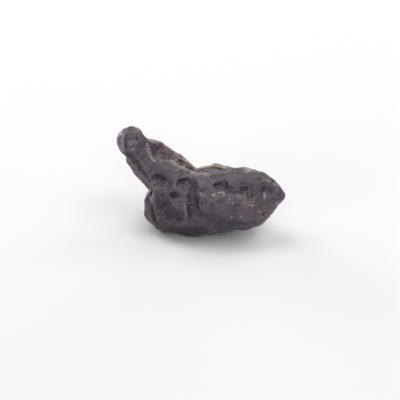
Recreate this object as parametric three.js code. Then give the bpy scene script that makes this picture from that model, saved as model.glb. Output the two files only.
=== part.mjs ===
// Tektite: a splash of black natural glass, modelled as one closed solid.
//
// The stone is written as a field in millimetres, negative inside it and positive outside. Lobes are
// blended into one body, ridges are laid on it, bowls and grooves are scooped out of it, and slow noise
// makes it lumpy. A surface net turns the field into an even mesh, whose lowest points are levelled into
// the small flat facet that the stone rests on.
//
// Axes: +X to the right along the length, +Y away from the front, +Z up. The origin is on the ground
// under the middle of the stone's box.

import * as THREE from 'three';
import { ImprovedNoise } from 'three/addons/math/ImprovedNoise.js';

const v3 = (x, y, z) => new THREE.Vector3(x, y, z);
const degrees = THREE.MathUtils.degToRad;

// ---- Driving dimensions ----

const LENGTH = 36; // overall, along X
const CELL = 0.7; // size of one face of the net
const FILLED = -0.02; // depth given to a corner that is filled to keep the net clean
const RELAX_ROUNDS = 4; // rounds that even out the net
const LOOK_DOWN = 30; // degrees: tilt of the front view in which most of the sculpting is laid out
const ROOM = new THREE.Box3(v3(-21, -9, -4), v3(21, 16, 26)); // where the net looks for the surface
const GROUND = 0; // height of the facet, in the frame of the sculpt
const SKIN = 4; // ridges and scoops only matter this near to the body's surface
const SLOW_LUMPS = { size: 4.1, height: 0.5 };
const QUICK_LUMPS = { size: 1.9, height: 0.2 };
const COLOUR = 0x3a363c;
const ROUGHNESS = 0.4;

// ---- Fields ----

function smoothMin(a, b, blend) {
  const overlap = Math.max(blend - Math.abs(a - b), 0) / blend;
  return Math.min(a, b) - (overlap * overlap * blend) / 4;
}

const smoothMax = (a, b, blend) => -smoothMin(-a, -b, blend);

function ellipsoid(centre, radii, turn = new THREE.Euler()) {
  const unturn = new THREE.Quaternion().setFromEuler(turn).invert();
  const q = v3();
  return (p) => {
    q.copy(p).sub(centre).applyQuaternion(unturn).divide(radii);
    const inUnits = q.length();
    const steepness = q.divide(radii).length();
    return steepness > 0 ? (inUnits * (inUnits - 1)) / steepness : -Math.min(radii.x, radii.y, radii.z);
  };
}

function taperedRod(from, to, fromRadius, toRadius = fromRadius) {
  const along = to.clone().sub(from);
  const q = v3();
  return (p) => {
    q.copy(p).sub(from);
    const t = THREE.MathUtils.clamp(q.dot(along) / along.lengthSq(), 0, 1);
    return q.addScaledVector(along, -t).length() - THREE.MathUtils.lerp(fromRadius, toRadius, t);
  };
}

function slopeOf(field, p, step = 0.05) {
  const q = p.clone();
  const slope = v3();
  for (const axis of ['x', 'y', 'z']) {
    q[axis] = p[axis] + step;
    const ahead = field(q);
    q[axis] = p[axis] - step;
    slope[axis] = (ahead - field(q)) / (2 * step);
    q[axis] = p[axis];
  }
  return slope;
}

// ---- Views ----
// Features are placed as a sculptor sees them in a view: across (to the right) and up, in millimetres
// on the picture plane through the origin.

function view(azimuth, elevation) {
  const turn = new THREE.Quaternion()
    .setFromAxisAngle(v3(0, 0, 1), degrees(azimuth))
    .multiply(new THREE.Quaternion().setFromAxisAngle(v3(1, 0, 0), -degrees(elevation)));
  const right = v3(1, 0, 0).applyQuaternion(turn);
  const up = v3(0, 0, 1).applyQuaternion(turn);
  const ahead = v3(0, 1, 0).applyQuaternion(turn);
  return { at: (across, high) => right.clone().multiplyScalar(across).addScaledVector(up, high), ahead };
}

const FRONT = view(0, LOOK_DOWN);
const BACK = view(180, 20);
const LEFT = view(270, 10);
const RIGHT = view(90, 10);
const ABOVE = view(0, 85);

// A point of the front view at a known depth, y.
function seen(across, up, y) {
  const p = FRONT.at(across, up);
  return p.addScaledVector(FRONT.ahead, (y - p.y) / FRONT.ahead.y);
}

// The point where a view's line of sight meets a field's surface, and the way out of the surface there.
const CAST = { start: -60, steps: 400, pace: 0.6, reached: 0.01 };
function cast(field, from, across, up) {
  const point = from.at(across, up).addScaledVector(from.ahead, CAST.start);
  for (let step = 0; step < CAST.steps; step++) {
    const gap = field(point);
    if (gap < CAST.reached) break;
    point.addScaledVector(from.ahead, Math.max(gap * CAST.pace, CAST.reached));
  }
  return { point, out: slopeOf(field, point).normalize() };
}

// ---- The body: lobes blended into one ----

const LOBES = [
  // shape, blend with what came before
  [ellipsoid(seen(0.6, 6.9, 2.2), v3(9.6, 7.0, 6.7)), 1], // belly
  [ellipsoid(seen(-1.8, 4.3, 1.2), v3(4.8, 3.6, 3.7)), 2], // foot of the belly
  [ellipsoid(seen(0.4, 3.5, 3.3), v3(7.2, 4.0, 2.7)), 1], // its sole
  [ellipsoid(seen(-6.5, 5.3, 3.3), v3(4.6, 5.4, 4.4)), 2.2], // left foot
  [ellipsoid(seen(8.9, 7.6, 1.2), v3(7.0, 5.4, 6.8), new THREE.Euler(degrees(-18), 0, 0)), 3], // right lobe
  [taperedRod(seen(11.3, 11.6, 2.4), seen(13.9, 9.9, 1.4), 2.0, 2.0), 0.8], // its upper edge
  [ellipsoid(seen(12.8, 5.9, 1.2), v3(2.3, 2.4, 2.2)), 1.4], // its lower edge
  [ellipsoid(seen(15.6, 8.5, 0.4), v3(2.3, 2.2, 2.0)), 1.8], // right tip
  [taperedRod(seen(-11.2, 15.3, 6.8), seen(-6.6, 11.6, 4.6), 2.8, 4.2), 3], // front of the neck
  [taperedRod(seen(-13.8, 18.0, 7.9), seen(-11.2, 15.3, 6.8), 2.5, 2.8), 0.5],
  [taperedRod(seen(-15.7, 18.4, 8.8), seen(-14.45, 16.2, 9.0), 1.3, 1.4), 1.0], // left edge of the neck
  [taperedRod(seen(-14.45, 16.2, 9.0), seen(-10.6, 11.0, 7.6), 1.4, 1.6), 0.8],
  [taperedRod(seen(-12.0, 18.3, 9.4), seen(-10.0, 17.6, 9.8), 2.4, 2.2), 1.2], // back of the neck
  [taperedRod(seen(-10.0, 17.6, 9.8), seen(-4.2, 14.2, 8.8), 2.2, 2.2), 1.0],
  [taperedRod(seen(-4.2, 14.2, 8.8), seen(-1.6, 12.7, 8.4), 2.2, 1.9), 0.3],
  [taperedRod(seen(-1.6, 12.7, 8.4), seen(1.1, 12.85, 8.2), 1.9, 1.9), 0.3], // back ridge
  [taperedRod(seen(1.1, 12.85, 8.2), seen(3.5, 13.3, 8.0), 1.9, 1.9), 0.3],
  [taperedRod(seen(3.5, 13.3, 8.0), seen(5.8, 12.7, 7.2), 1.9, 1.9), 0.3],
  [taperedRod(seen(5.8, 12.7, 7.2), seen(9.3, 12.2, 5.4), 1.9, 2.0), 0.8],
  [taperedRod(seen(-8.0, 12.4, 8.6), seen(6.0, 10.4, 7.6), 2.4, 2.6), 1.0], // shoulder behind it
  [ellipsoid(seen(-14.9, 20.2, 8.2), v3(2.85, 2.9, 2.85)), 1.8], // knob
  [taperedRod(seen(-9.9, 7.3, 4.6), seen(-9.2, 4.3, 4.0), 2.4, 2.4), 0.9], // side of the foot
];

function body(p) {
  let f = Infinity;
  for (const [shape, blend] of LOBES) f = f === Infinity ? shape(p) : smoothMin(f, shape(p), blend);
  return f;
}

// ---- Ridges and scoops ----

const spot = (across, up, from = FRONT) => cast(body, from, across, up);
const path = (places) => places.map(([across, up]) => spot(across, up));

// A bowl with a round mouth, pressed into the surface.
function bowl({ point, out }, mouth, depth) {
  const radius = (mouth * mouth + depth * depth) / (2 * depth);
  const centre = point.clone().addScaledVector(out, radius - depth);
  return (p) => p.distanceTo(centre) - radius;
}

// Round rods joined end to end along spots of the surface, lifted off it.
function rodsAlong(spots, radius, lift) {
  const line = spots.map(({ point, out }) => point.clone().addScaledVector(out, lift));
  const rods = line.slice(1).map((end, n) => taperedRod(line[n], end, radius));
  return (p) => Math.min(...rods.map((rod) => rod(p)));
}

const groove = (spots, radius, depth) => rodsAlong(spots, radius, radius - depth);
const ridge = (spots, radius, height) => rodsAlong(spots, radius, height - radius);

const RIDGES = [
  // shape, blend
  [ridge(path([[-16.4, 21.0], [-16.5, 18.6]]), 0.6, 0.1), 0.6], // edge of the knob's left facet
  [ridge(path([[-11.4, 17.6], [-10.6, 16.1], [-9.5, 15.2]]), 0.7, 0.3), 0.8], // rim of the neck's pit
  [ridge(path([[-8.4, 16.0], [-6.5, 15.9], [-5.1, 14.8], [-3.5, 14.0], [-1.8, 13.2]]), 0.6, 0.3), 0.8],
  [ridge(path([[-1.8, 13.2], [1.5, 13.1], [5.6, 13.1]]), 0.6, 0.2), 0.8], // front rim of the saddle
  [ridge(path([[-3.0, 6.2], [-3.3, 4.6], [-3.6, 3.2]]), 0.9, 0.5), 1.2], // beside the valley
  [ridge(path([[-9.1, 9.6], [-9.4, 7.0], [-8.6, 3.6]]), 0.8, 0.4), 1.0], // front edge of the foot's side
];

const SCOOPS = [
  // shape, blend
  [bowl(spot(-14.8, 19.9), 1.5, 0.45), 0.5], // knob dimple
  [bowl(spot(-13.7, 20.2), 0.7, 0.4), 0.3],
  [bowl(spot(-17.3, 20.2), 1.1, 0.25), 0.4],
  [bowl(spot(-8.8, 17.4), 2.2, 1.5), 0.7], // pit on the neck
  [groove(path([[-5.4, 16.4], [-3.3, 15.0]]), 1.3, 1.6), 0.8], // pocket beside it
  [groove(path([[-3.3, 15.0], [-1.4, 14.0], [2.0, 13.9], [5.4, 13.9]]), 1.2, 1.4), 0.8], // saddle's trough
  [groove(path([[-15.0, 16.9], [-13.3, 14.6], [-11.9, 12.8], [-11.0, 11.0], [-10.5, 9.4]]), 0.7, 0.6), 0.6],
  [bowl(spot(-8.6, 11.6), 1.8, 1.2), 0.6], // alcove under the neck
  [bowl(spot(-7.0, 10.9), 1.0, 0.8), 0.6],
  [bowl(spot(-3.4, 10.8), 1.8, 1.3), 0.6], // alcove at the top of the valley
  [groove(path([[-2.2, 11.2], [-1.7, 9.4], [-1.4, 7.0], [-1.6, 4.8]]), 1.2, 1.2), 0.7], // valley
  [groove(path([[-5.8, 8.6], [-5.2, 8.4]]), 0.8, 1.1), 0.6], // deep hole
  [bowl(spot(-5.3, 4.2), 2.3, 0.8), 0.8],
  [groove(path([[-10.0, 5.4], [-9.5, 3.4], [-8.3, 2.2]]), 0.9, 0.5), 0.6], // side of the foot
  [groove(path([[3.6, 10.6], [4.6, 10.7]]), 0.9, 1.1), 0.6], // deep pit of the right lobe
  [groove(path([[4.8, 10.2], [6.2, 9.3], [8.3, 9.0], [9.5, 9.7]]), 0.6, 0.5), 0.5], // its trail
  [groove(path([[9.0, 10.0], [10.2, 9.9]]), 0.7, 0.6), 0.5],
  [groove(path([[10.8, 9.3], [10.9, 8.0]]), 0.6, 0.6), 0.4],
  [bowl(spot(0.6, 7.0), 0.8, 0.5), 0.5],
  [bowl(spot(0.4, 9.4), 0.7, 0.4), 0.5],
  [bowl(spot(4.2, 7.0), 0.8, 0.4), 0.5],
  [bowl(spot(7.9, 6.6), 0.6, 0.4), 0.5],
  [bowl(spot(13.9, 9.2), 1.4, 0.6), 0.5], // dimples of the right tip
  [bowl(spot(15.0, 9.9), 0.8, 0.5), 0.5],
  [bowl(spot(12.2, 6.6), 1.4, 0.4), 0.5],
  [bowl(spot(13.4, 4.6), 1.3, 0.4), 0.5],
  [groove(path([[-1.2, 4.2], [1.6, 3.7], [4.4, 2.8], [6.7, 2.0], [10.4, 1.9]]), 1.2, 0.8), 0.6], // crease
  // seen from behind
  [bowl(spot(-8.5, 3.6, BACK), 3.2, 1.0), 0.9],
  [bowl(spot(-2.0, 1.2, BACK), 2.8, 0.9), 0.7],
  [bowl(spot(3.4, 3.6, BACK), 2.4, 0.8), 0.8],
  [bowl(spot(8.0, 1.2, BACK), 2.0, 0.7), 0.5],
  [bowl(spot(-13.2, 4.2, BACK), 1.6, 0.6), 0.5],
  [bowl(spot(8.6, 7.2, BACK), 1.6, 0.6), 0.5],
  [bowl(spot(12.3, 10.4, BACK), 1.3, 0.5), 0.4],
  [bowl(spot(15.0, 14.6, BACK), 1.3, 0.5), 0.4],
  [bowl(spot(-5.6, -0.6, BACK), 1.3, 0.5), 0.4],
  // seen from the ends and from above
  [bowl(spot(-5.2, 3.6, LEFT), 1.5, 0.5), 0.5],
  [bowl(spot(-3.6, 8.2, LEFT), 1.3, 0.5), 0.4],
  [bowl(spot(5.6, 4.2, RIGHT), 1.6, 0.6), 0.4],
  [bowl(spot(11.2, 3.8, ABOVE), 1.8, 0.5), 0.5],
];

// Small pits scattered over the back, the ends and the underside; the front has its own.
const SCATTER = { seed: 41, tries: 110, off: 0.1, turnedAway: 0.35, blend: 0.5 };
const random = (low, high) => THREE.MathUtils.lerp(low, high, THREE.MathUtils.seededRandom());
THREE.MathUtils.seededRandom(SCATTER.seed);
for (let n = 0; n < SCATTER.tries; n++) {
  const from = view(random(60, 300), random(-60, 60));
  const place = spot(random(-18, 18), random(-12, 22), from);
  const mouth = random(0.6, 1.2);
  const missed = Math.abs(body(place.point)) > SCATTER.off;
  if (missed || place.out.dot(FRONT.ahead) < SCATTER.turnedAway) continue;
  SCOOPS.push([bowl(place, mouth, mouth * random(0.3, 0.5)), SCATTER.blend]);
}

const noise = new ImprovedNoise();
const lumps = (p, { size, height }) => height * noise.noise(p.x / size, p.y / size, p.z / size);

function stone(p) {
  let f = body(p);
  if (Math.abs(f) > SKIN) return f;
  for (const [shape, blend] of RIDGES) f = smoothMin(f, shape(p), blend);
  for (const [shape, blend] of SCOOPS) f = smoothMax(f, -shape(p), blend);
  return f + lumps(p, SLOW_LUMPS) + lumps(p, QUICK_LUMPS);
}

// ---- Surface net: one point in each cell that the surface crosses, one quad across each crossed edge ----

// A net pinches where inside and outside alternate round the face of a cell, or where only two opposite
// corners of a cell differ from the rest. Filling the nearest outside corner keeps it one clean sheet.
function unpinch(value, stride, filled) {
  const [x, y, z] = stride;
  const faces = [[x, y], [y, z], [z, x]].map(([a, b]) => [0, a, a + b, b]);
  const diagonals = [[0, x + y + z], [x, y + z], [y, x + z], [z, x + y]];
  const corners = diagonals.flat();
  const outside = (n) => value[n] >= 0;
  const fill = (places) => {
    const nearest = places.filter(outside).reduce((a, b) => (value[b] < value[a] ? b : a));
    value[nearest] = filled;
  };
  let pinched = true;
  while (pinched) {
    pinched = false;
    for (let n = 0; n < value.length - x - y - z; n++) {
      for (const face of faces) {
        const [a, b, c, d] = face.map((step) => outside(n + step));
        if (a !== c || b !== d || a === b) continue;
        fill(face.map((step) => n + step));
        pinched = true;
      }
      const out = corners.filter((step) => outside(n + step)).length;
      if (out !== 2 && out !== 6) continue;
      for (const [a, b] of diagonals) {
        if (outside(n + a) !== (out === 2) || outside(n + b) !== (out === 2)) continue;
        fill(corners.map((step) => n + step));
        pinched = true;
      }
    }
  }
}

function surfaceNet(field, { min, max }, cell) {
  const count = ['x', 'y', 'z'].map((axis) => Math.ceil((max[axis] - min[axis]) / cell) + 1);
  const [nx, ny, nz] = count;
  const stride = [1, nx, nx * ny];
  const index = (i, j, k) => i + j * stride[1] + k * stride[2];
  const value = new Float32Array(nx * ny * nz);
  const p = v3();
  for (let k = 0; k < nz; k++)
    for (let j = 0; j < ny; j++)
      for (let i = 0; i < nx; i++)
        value[index(i, j, k)] = field(p.set(i, j, k).multiplyScalar(cell).add(min));
  unpinch(value, stride, FILLED);

  const points = [];
  const pointOf = new Int32Array(value.length).fill(-1);
  for (let k = 0; k < nz - 1; k++)
    for (let j = 0; j < ny - 1; j++)
      for (let i = 0; i < nx - 1; i++) {
        const sum = v3();
        let crossings = 0;
        for (let corner = 0; corner < 8; corner++)
          for (let axis = 0; axis < 3; axis++) {
            if (corner & (1 << axis)) continue;
            const c = [corner & 1, (corner >> 1) & 1, corner >> 2];
            const a = index(i + c[0], j + c[1], k + c[2]);
            const b = a + stride[axis];
            if (value[a] < 0 === value[b] < 0) continue;
            c[axis] += value[a] / (value[a] - value[b]);
            sum.add(v3(...c));
            crossings++;
          }
        if (!crossings) continue;
        pointOf[index(i, j, k)] = points.length;
        points.push(sum.divideScalar(crossings).add(v3(i, j, k)).multiplyScalar(cell).add(min));
      }

  const quads = [];
  for (let k = 1; k < nz - 1; k++)
    for (let j = 1; j < ny - 1; j++)
      for (let i = 1; i < nx - 1; i++)
        for (let axis = 0; axis < 3; axis++) {
          const a = index(i, j, k);
          const inside = value[a] < 0;
          if (inside === value[a + stride[axis]] < 0) continue;
          const b = stride[(axis + 1) % 3];
          const c = stride[(axis + 2) % 3];
          const ring = [a - b - c, a - c, a, a - b].map((corner) => pointOf[corner]);
          quads.push(inside ? ring : ring.reverse());
        }
  return { points, quads };
}

// Moves each point halfway to the middle of its neighbours, then back onto the surface.
function relax({ points, quads }, field, rounds) {
  for (let round = 0; round < rounds; round++) {
    const sum = points.map(() => v3());
    const count = new Uint8Array(points.length);
    for (const quad of quads)
      quad.forEach((point, n) => {
        sum[point].add(points[quad[(n + 1) % 4]]);
        count[point]++;
      });
    points.forEach((point, n) => {
      point.lerp(sum[n].divideScalar(count[n]), 0.5);
      for (let pull = 0; pull < 2; pull++) {
        const slope = slopeOf(field, point);
        point.addScaledVector(slope, -field(point) / Math.max(slope.lengthSq(), 0.1));
      }
    });
  }
}

function geometryOfNet({ points, quads }) {
  const index = [];
  for (const [a, b, c, d] of quads) {
    const acrossAC = points[a].distanceToSquared(points[c]);
    const acrossBD = points[b].distanceToSquared(points[d]);
    index.push(...(acrossAC < acrossBD ? [a, b, c, a, c, d] : [a, b, d, b, c, d]));
  }
  return new THREE.BufferGeometry().setFromPoints(points).setIndex(index);
}

// ---- The stone: its net, its flat facet, its size and its place ----

const net = surfaceNet(stone, ROOM, CELL);
relax(net, stone, RELAX_ROUNDS);
for (const point of net.points) point.z = Math.max(point.z, GROUND);

const geometry = geometryOfNet(net);
geometry.computeBoundingBox();
const middle = geometry.boundingBox.getCenter(v3());
const { x: length } = geometry.boundingBox.getSize(v3());
geometry.translate(-middle.x, -middle.y, -GROUND);
geometry.scale(LENGTH / length, LENGTH / length, LENGTH / length);
geometry.computeVertexNormals();

const material = new THREE.MeshStandardMaterial({ color: COLOUR, roughness: ROUGHNESS, metalness: 0 });
const tektite = new THREE.Mesh(geometry, material);
tektite.name = 'tektite';

const group = new THREE.Group();
group.add(tektite);

export default group;
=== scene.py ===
"""A tektite: one boot-shaped splash of black natural glass with a pitted, satin skin.

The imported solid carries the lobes, ridges, bowls and grooves. This script lays a much finer skin over it
and works the small relief into that skin: pits, creases, rims, flow lines and crusts of soil. Features of
the front are placed by the pixel of the 400 x 400 picture at which they are seen, and sit where the line
of sight through that pixel meets the stone. All relief is worked out in millimetres.
"""

import math
import random

import bpy
import numpy as np
from mathutils import Matrix, Vector, noise
from mathutils.bvhtree import BVHTree
from mathutils.kdtree import KDTree


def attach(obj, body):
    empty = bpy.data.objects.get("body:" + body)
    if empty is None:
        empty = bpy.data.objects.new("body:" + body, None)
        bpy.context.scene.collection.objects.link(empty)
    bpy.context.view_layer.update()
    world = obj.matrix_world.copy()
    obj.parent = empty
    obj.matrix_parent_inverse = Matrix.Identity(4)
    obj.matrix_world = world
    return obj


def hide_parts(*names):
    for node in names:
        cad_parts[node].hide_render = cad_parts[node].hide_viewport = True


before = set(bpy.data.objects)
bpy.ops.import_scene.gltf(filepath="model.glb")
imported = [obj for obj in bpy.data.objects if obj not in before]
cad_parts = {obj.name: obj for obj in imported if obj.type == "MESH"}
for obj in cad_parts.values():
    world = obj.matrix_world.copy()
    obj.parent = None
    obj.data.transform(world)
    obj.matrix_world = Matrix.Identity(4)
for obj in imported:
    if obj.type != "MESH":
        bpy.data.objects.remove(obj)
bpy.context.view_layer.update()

MM = 0.001

# ---- The picture ----

PICTURE = 400  # pixels, both ways
PICTURE_WIDTH = 85.7  # millimetres that the picture spans at the stone
LENS = 180.0  # millimetres, as is the sensor
SENSOR = 36.0
LOOK_DOWN = math.radians(30)
AIM = Vector((-0.14, 0.19, 6.25))  # millimetres, what the middle of the picture looks at

towards_camera = Vector((0, -math.cos(LOOK_DOWN), math.sin(LOOK_DOWN)))
camera_turn = (-towards_camera).to_track_quat("-Z", "Y")
camera_place = AIM + towards_camera * (PICTURE_WIDTH * LENS / SENSOR)


def line_of_sight(x, y):
    """The direction from the camera through a pixel of the picture."""
    across = (x / PICTURE - 0.5) * SENSOR
    up = (0.5 - y / PICTURE) * SENSOR
    return (camera_turn @ Vector((across, up, -LENS))).normalized()


# ---- The other sides ----

FAR = 100.0  # millimetres, well clear of the stone
SIDES = {
    # the way out of each side, and the place that two coordinates on it stand for, in millimetres
    "above": ((0, 0, 1), lambda x, y: (x, y, 0)),
    "behind": ((0, 1, 0), lambda x, z: (x, 0, z)),
    "below": ((0, 0, -1), lambda x, y: (x, y, 0)),
    "left": ((-1, 0, 0), lambda y, z: (0, y, z)),
    "right": ((1, 0, 0), lambda y, z: (0, y, z)),
}

# ---- The skin ----

CELL = 0.158  # millimetres, the size of one face of the skin
LEVEL = 0.02  # the skin lies flat on the ground wherever it is lower than this, in millimetres
PASSES = 2  # how many times the steps of the net are eased away and its size is restored
ROUNDS = 4  # rounds of each
EASE = 0.6  # how far a point goes to the mean of its neighbours
RESTORE = -0.55
NOISE_SHIFT = (17.3, 5.9, 11.1)  # how far apart the noises of two seeds lie


class Skin:
    """A fine, even mesh laid over the solid, with the way out at each point."""

    def __init__(self, mesh):
        self.mesh = mesh
        self.count = len(mesh.vertices)
        edges = np.empty(len(mesh.edges) * 2, np.int32)
        mesh.edges.foreach_get("vertices", edges)
        self.edges = edges.reshape(-1, 2)
        self.neighbours = np.bincount(edges, minlength=self.count)
        self.wobble = np.ones(self.count)
        self.read()

    def read(self):
        points = np.empty(self.count * 3, np.float32)
        self.mesh.vertices.foreach_get("co", points)
        self.points = points.reshape(-1, 3).astype(float)
        out = np.empty(self.count * 3, np.float32)
        self.mesh.vertex_normals.foreach_get("vector", out)
        self.out = out.reshape(-1, 3).astype(float)
        self.tree = BVHTree.FromPolygons(
            [Vector(p) for p in self.points], [tuple(f.vertices) for f in self.mesh.polygons]
        )

    def write(self):
        self.mesh.vertices.foreach_set("co", self.points.astype(np.float32).ravel())
        self.mesh.update()

    def even(self, values, rounds, pull=0.5):
        """The values, each drawn towards the mean of its neighbours."""
        a, b = self.edges.T
        flat = values.reshape(self.count, -1).astype(float)
        for _ in range(rounds):
            for column in flat.T:
                near = np.bincount(a, column[b], self.count) + np.bincount(b, column[a], self.count)
                column += pull * (near / self.neighbours - column)
        return flat.reshape(values.shape)

    def noise(self, size, seed):
        """Smooth noise, from -1 to 1, with lumps of about that many millimetres."""
        shift = Vector([part * seed for part in NOISE_SHIFT])
        return np.array([noise.noise(Vector(p) / size + shift) for p in self.points])

    def seen_at(self, x, y):
        """The point of the skin under a pixel of the picture, and the way out there."""
        hit, out, _, _ = self.tree.ray_cast(camera_place, line_of_sight(x, y))
        return hit, out

    def met_from(self, side, a, b):
        """The point of the skin that is met first from one side of the stone, and the way out there."""
        out_of_side, place = SIDES[side]
        out_of_side = Vector(out_of_side)
        hit, out, _, _ = self.tree.ray_cast(Vector(place(a, b)) + out_of_side * FAR, -out_of_side)
        return hit, out


def fine_skin(node):
    """An even net over the solid, in millimetres, with the solid's own facets smoothed out."""
    mesh = node.data.copy()
    mesh.transform(Matrix.Scale(1 / MM, 4))
    carrier = bpy.data.objects.new("carrier", mesh)
    bpy.context.scene.collection.objects.link(carrier)
    net = carrier.modifiers.new("even net", "REMESH")
    net.mode = "VOXEL"
    net.voxel_size = CELL
    ready = carrier.evaluated_get(bpy.context.evaluated_depsgraph_get())
    fine = bpy.data.meshes.new_from_object(ready)
    bpy.data.objects.remove(carrier)
    skin = Skin(fine)
    for pull in (EASE, RESTORE) * PASSES:
        skin.points = skin.even(skin.points, ROUNDS, pull)
    skin.points[:, 2] = np.where(skin.points[:, 2] < LEVEL, 0, skin.points[:, 2])
    skin.write()
    skin.read()
    return skin


# ---- Relief ----

STEP = 0.8  # pixels between the casts of a path
JUMP = 1.0  # a path is broken where the skin under it falls back by this many millimetres
SEARCH = 1.4  # skin up to this many reaches away from a path is looked at
RELIEF_TAPER = 0.15  # the share of a stroke over which it narrows at each end
ZONE_TAPER = 0.05
NARROWEST = 1e-3  # millimetres, the reach that a stroke keeps at its very ends
TURNED_AWAY = -0.1  # a stroke leaves skin alone where the cosine between their ways out is less than this,
ALIKE = 0.4  # and works it fully where it is more than this
# A hollow is darkest under its upper edge, so its stroke lies lower, by this many pixels for 1 mm of reach.
DROP = 1.4


# The profiles of a stroke: how strong it is at the distance r from its middle, where r is 1 at its edge.


def bowl(r):
    return (1 - r**2) ** 2


def pit(r):
    """Flat in the middle, with a steep wall that takes up the outer part."""
    wall = 0.6
    t = np.clip((1 - r) / wall, 0, 1)
    return t * t * (3 - 2 * t)


def crease(r):
    return (1 - r) ** 1.6


def facing(skin, chosen, out):
    """1 where the skin faces the same way, 0 where it faces away."""
    return np.clip((skin.out[chosen] @ np.array(out) - TURNED_AWAY) / (ALIKE - TURNED_AWAY), 0, 1)


def stroke(skin, path, outs, reach, profile, taper):
    """How strongly each point of the skin is under a stroke along the path, from 0 to 1.

    reach is half its width, profile its section, and taper the share over which it narrows at each end.
    Without outs, the ways out along the path, it also takes in skin that faces away, and has no breaks.
    """
    path = np.array(path, float)
    low, high = path.min(0) - SEARCH * reach, path.max(0) + SEARCH * reach
    chosen = np.flatnonzero(((skin.points > low) & (skin.points < high)).all(1))
    strength = np.zeros(skin.count)
    if len(path) == 1:
        away = np.linalg.norm(skin.points[chosen] - path[0], axis=1) / (reach * skin.wobble[chosen])
        strength[chosen] = profile(np.clip(away, 0, 1)) * (facing(skin, chosen, outs[0]) if outs else 1)
        return strength
    best = np.zeros(len(chosen))
    steps = len(path) - 1
    for n in range(steps):
        a, along = path[n], path[n + 1] - path[n]
        if outs and np.linalg.norm(along) > JUMP:
            continue
        offset = skin.points[chosen] - a
        t = np.clip(offset @ along / max(along @ along, 1e-9), 0, 1)
        away = np.linalg.norm(offset - t[:, None] * along, axis=1)
        done = (n + t) / steps
        width = reach * np.clip(np.minimum(done, 1 - done) / max(taper, 1e-6), 0, 1) ** 0.5
        r = np.clip(away / np.maximum(width * skin.wobble[chosen], NARROWEST), 0, 1)
        best = np.maximum(best, profile(r) * (facing(skin, chosen, outs[n]) if outs else 1))
    strength[chosen] = best
    return strength


def trace(look, path, step):
    """The points of the skin where it is looked at along the path, and the ways out there."""
    stops = [path[0]]
    for (a0, b0), (a1, b1) in zip(path, path[1:]):
        steps = max(1, round(math.hypot(a1 - a0, b1 - b0) / step))
        stops += [(a0 + (a1 - a0) * n / steps, b0 + (b1 - b0) * n / steps) for n in range(1, steps + 1)]
    hits = [look(a, b) for a, b in stops]
    hits = [(point, out) for point, out in hits if point is not None]
    return [point for point, _ in hits], [out for _, out in hits]


def trace_front(skin, pixels, drop=0.0):
    """As trace, for a path in the picture, drawn that many pixels lower."""
    return trace(skin.seen_at, [(x, y + drop) for x, y in pixels], STEP)


def trace_side(skin, side, path):
    """As trace, for a path on one side of the stone, in millimetres."""
    return trace(lambda a, b: skin.met_from(side, a, b), path, STEP * PICTURE_WIDTH / PICTURE)


# Where the outline is eased, by the pixels at which it is seen. Reach, and the shift to the right and up in
# the picture, are in millimetres.
EASED = [
    # what, pixels, reach, (right, up)
    ("upper left of the knob", [(123, 128.6), (120.5, 130.4), (118.6, 132.6)], 2.6, (0.42, -0.25)),
    ("left edge of the neck", [(131.4, 165), (133, 167.5), (134.5, 170)], 2.2, (-0.5, 0)),
    ("left edge of the neck", [(139.5, 179.5), (143, 184)], 2.2, (0.25, 0)),
    ("left edge of the foot", [(145.9, 215), (146.6, 218.5)], 2.0, (-0.45, 0)),
    ("back of the neck", [(152.5, 138.8), (155, 139.6)], 2.0, (0, -0.35)),
    ("back of the pit", [(164, 146.5), (169, 150.3), (174.5, 154.3), (178, 156.2)], 2.4, (0, 0.47)),
    ("back of the pocket", [(188, 161), (191.5, 163.4)], 1.6, (0, -0.4)),
    ("far wall of the saddle", [(198.5, 168.8), (202.5, 168.3)], 2.2, (0, 0.4)),
    ("end of the far wall", [(225.5, 164.8), (229, 165.6)], 2.0, (0, -0.35)),
    ("back of the right lobe", [(263.5, 175), (270, 179.2)], 3.4, (0.1, 0.42)),
    ("edge of the right underside", [(234, 230), (243, 229.6)], 2.2, (0, 0.3)),
    ("edge of the right underside", [(253, 228.2), (258, 226.4), (263, 223.4)], 3.6, (-0.1, 0.75)),
    ("front of the foot", [(158, 227), (168, 230.5)], 2.2, (0, -0.4)),
    ("right tip", [(282.5, 199), (280.5, 202), (277.5, 206.5)], 2.4, (-0.3, 0.12)),
]

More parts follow.
